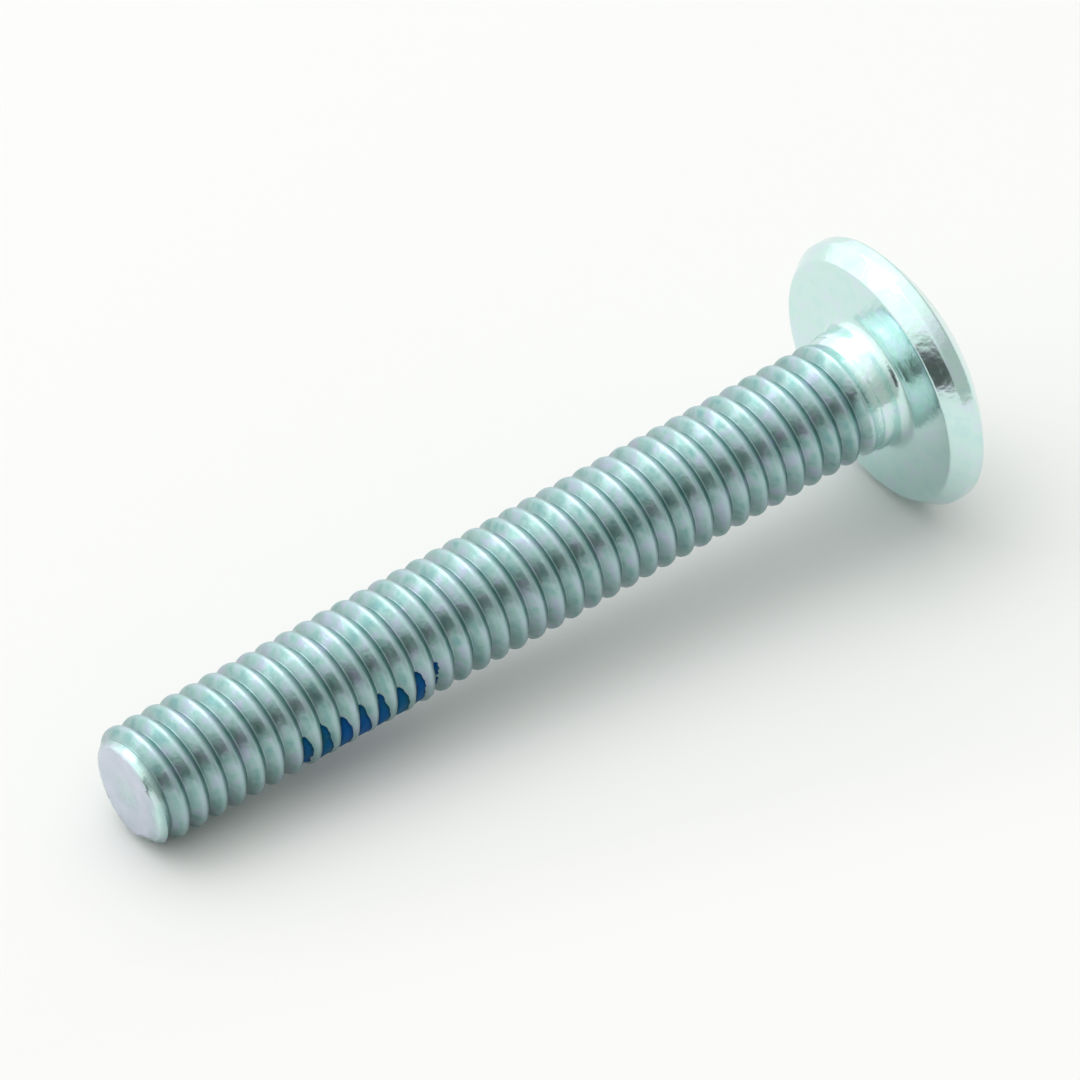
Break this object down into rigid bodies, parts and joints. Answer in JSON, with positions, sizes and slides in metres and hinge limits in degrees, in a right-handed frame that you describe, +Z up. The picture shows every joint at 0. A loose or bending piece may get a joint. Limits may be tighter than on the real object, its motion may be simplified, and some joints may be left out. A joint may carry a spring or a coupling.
{
  "type": "bolt",
  "caption": "Fully threaded truss-head machine screw with a low domed head, smooth flared neck, cross recess and a thread-locking nylon patch on one side of the shank.",
  "frame": {"origin": "on the floor, under the middle of the screw as it lies", "axes": "the screw lies along X with its tip towards -X and its head towards +X, raised 5.2 degrees at the head; Z is up"},
  "size_m": [0.0306, 0.009, 0.009],
  "materials": {
    "zinc_plated_steel": "bright zinc plate with a thin blue-white passivate, nearly mirror smooth",
    "blue_nylon": "fused nylon powder, dull blue"
  },
  "bodies": {
    "root": {"bolt": "zinc_plated_steel", "thread_patch": "blue_nylon"}
  },
  "joints": []
}
